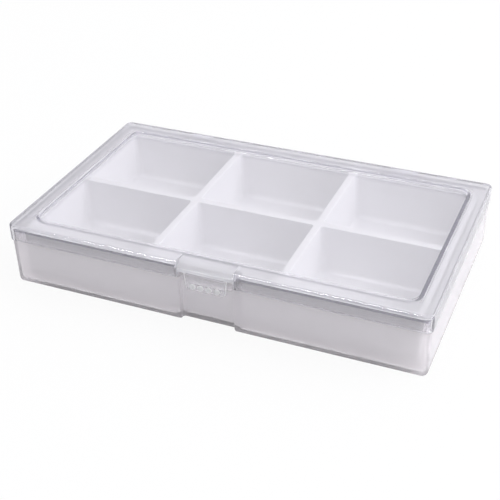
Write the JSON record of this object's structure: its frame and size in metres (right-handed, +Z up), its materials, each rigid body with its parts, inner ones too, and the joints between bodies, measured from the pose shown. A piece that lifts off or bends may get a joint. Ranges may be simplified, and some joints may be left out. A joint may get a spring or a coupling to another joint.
{
  "type": "soap mould",
  "caption": "Flat clear hinged case with a sunk lid panel and a front latch tab, holding a white moulded tray of rectangular soap cavities.",
  "frame": {"origin": "centre of the base's flat underside, half way between the case's two ends and between its front and back walls", "axes": "+X along the long side, +Y from the latch at the front to the hinge at the back, +Z up through the lid"},
  "size_m": [0.2006, 0.1233, 0.0318],
  "materials": {
    "frosted_base": "translucent, lightly frosted moulded plastic",
    "clear_lid": "clear moulded plastic, polished",
    "white_tray": "white moulded plastic, satin"
  },
  "bodies": {
    "case": {"base_box": "frosted_base", "cavity_tray": "white_tray"},
    "lid_body": {"lid": "clear_lid"},
    "tab_body": {"latch_tab": "clear_lid"}
  },
  "joints": [
    {"name": "lid_hinge", "type": "hinge", "parent": "case", "child": "lid_body", "pos_m": [0, 0.0616, 0.0246], "axis": [-1, 0, 0], "range_deg": [0, 180]},
    {"name": "tab_flex", "type": "hinge", "parent": "lid_body", "child": "tab_body", "pos_m": [0, -0.05795, 0.02735], "axis": [-1, 0, 0], "range_deg": [0, 12], "stiffness_Nm_per_rad": 0.05}
  ]
}
